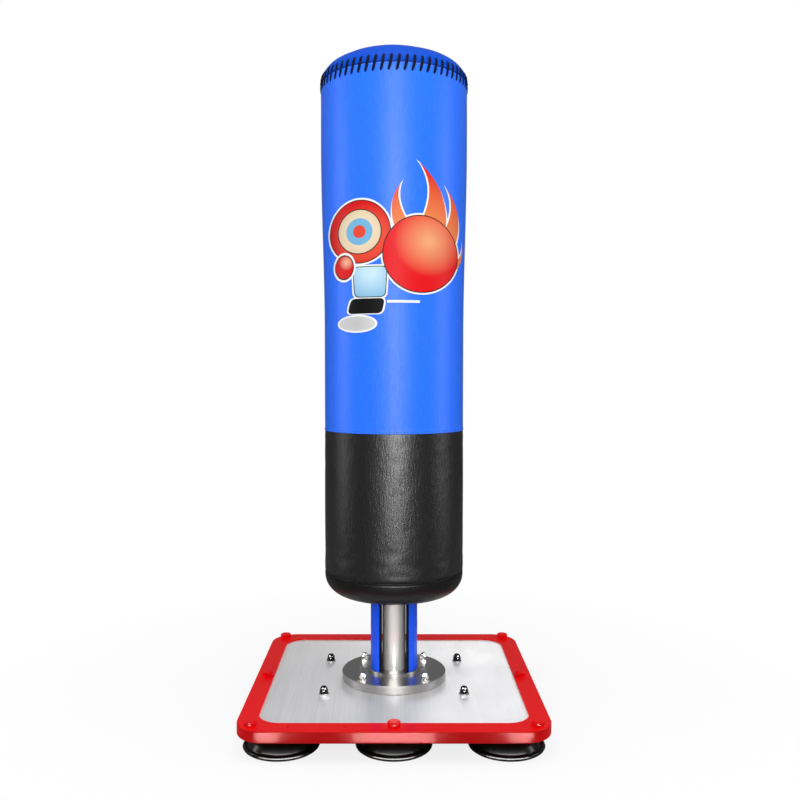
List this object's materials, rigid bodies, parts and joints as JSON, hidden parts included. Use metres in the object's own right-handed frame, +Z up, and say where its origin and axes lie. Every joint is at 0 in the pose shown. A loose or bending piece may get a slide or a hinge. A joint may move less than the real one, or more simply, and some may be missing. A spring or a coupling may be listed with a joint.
{
  "type": "free-standing punching bag",
  "caption": "Free-standing punching bag: padded two-colour bag that spins and sways on a spring, on a post bolted to a square base with suction cups.",
  "frame": {"origin": "on the floor, under the middle of the square base", "axes": "+Z up along the post and the bag, -Y to the front where the post shows between its pads, +X to the right seen from the front"},
  "size_m": [0.6, 0.6, 1.4],
  "materials": {
    "cup_rubber": "gloss",
    "zinc_steel": "satin",
    "plywood": "matte",
    "brushed_plate": "satin",
    "red_plastic": "gloss",
    "black_steel": "gloss",
    "chrome_steel": "polished",
    "spring_steel": "satin",
    "blue_vinyl": "satin",
    "black_vinyl": "satin",
    "lacing_cord": "matte",
    "nylon": "satin",
    "black_foam": "matte",
    "padding": "matte"
  },
  "bodies": {
    "stand": {"suction_cups": "cup_rubber", "cup_studs": "zinc_steel", "cup_nuts": "zinc_steel", "base_board": "plywood", "top_plate": "brushed_plate", "rim_guard": "red_plastic", "rim_inserts": "zinc_steel", "rim_bolts": "zinc_steel", "plate_bolts": "zinc_steel", "plate_washers": "zinc_steel", "plate_cap_nuts": "black_steel", "flange": "chrome_steel", "flange_bolts": "zinc_steel", "flange_washers": "chrome_steel", "flange_cap_nuts": "chrome_steel", "post_tube": "chrome_steel", "pad_cover_left": "blue_vinyl", "pad_cover_right": "blue_vinyl", "pad_foam_left": "black_foam", "pad_foam_right": "black_foam", "pad_ring": "zinc_steel", "lower_spring_plate": "black_steel"},
    "spring": {"main_spring": "spring_steel"},
    "spindle": {"upper_spring_plate": "black_steel", "spindle_tube": "zinc_steel", "spindle_plug": "zinc_steel", "retaining_washer": "zinc_steel", "retaining_bolt": "zinc_steel"},
    "bag": {"lower_bush": "nylon", "upper_bush": "nylon", "core_tube": "black_steel", "core_screws": "zinc_steel", "bottom_disc": "plywood", "top_disc": "plywood", "core_plug": "nylon", "core_foam": "padding", "foam_jacket": "padding", "skirt_foam": "padding", "top_foam": "padding", "cover_upper": "blue_vinyl", "cover_lower": "black_vinyl", "top_cap": "blue_vinyl", "bottom_cap": "black_vinyl", "well_liner": "black_vinyl", "bottom_piping": "black_vinyl", "top_lacing": "lacing_cord"}
  },
  "joints": [
    {"name": "sway_front_back", "type": "hinge", "parent": "stand", "child": "spring", "pos_m": [0, 0, 0.331], "axis": [1, 0, 0], "range_deg": [-15, 15], "stiffness_Nm_per_rad": 540, "deforming": ["main_spring"]},
    {"name": "sway_side", "type": "hinge", "parent": "spring", "child": "spindle", "pos_m": [0, 0, 0.331], "axis": [0, 1, 0], "range_deg": [-15, 15], "stiffness_Nm_per_rad": 540, "deforming": ["main_spring"]},
    {"name": "bag_spin", "type": "hinge", "parent": "spindle", "child": "bag", "pos_m": [0, 0, 0.331], "axis": [0, 0, 1], "continuous": true}
  ]
}
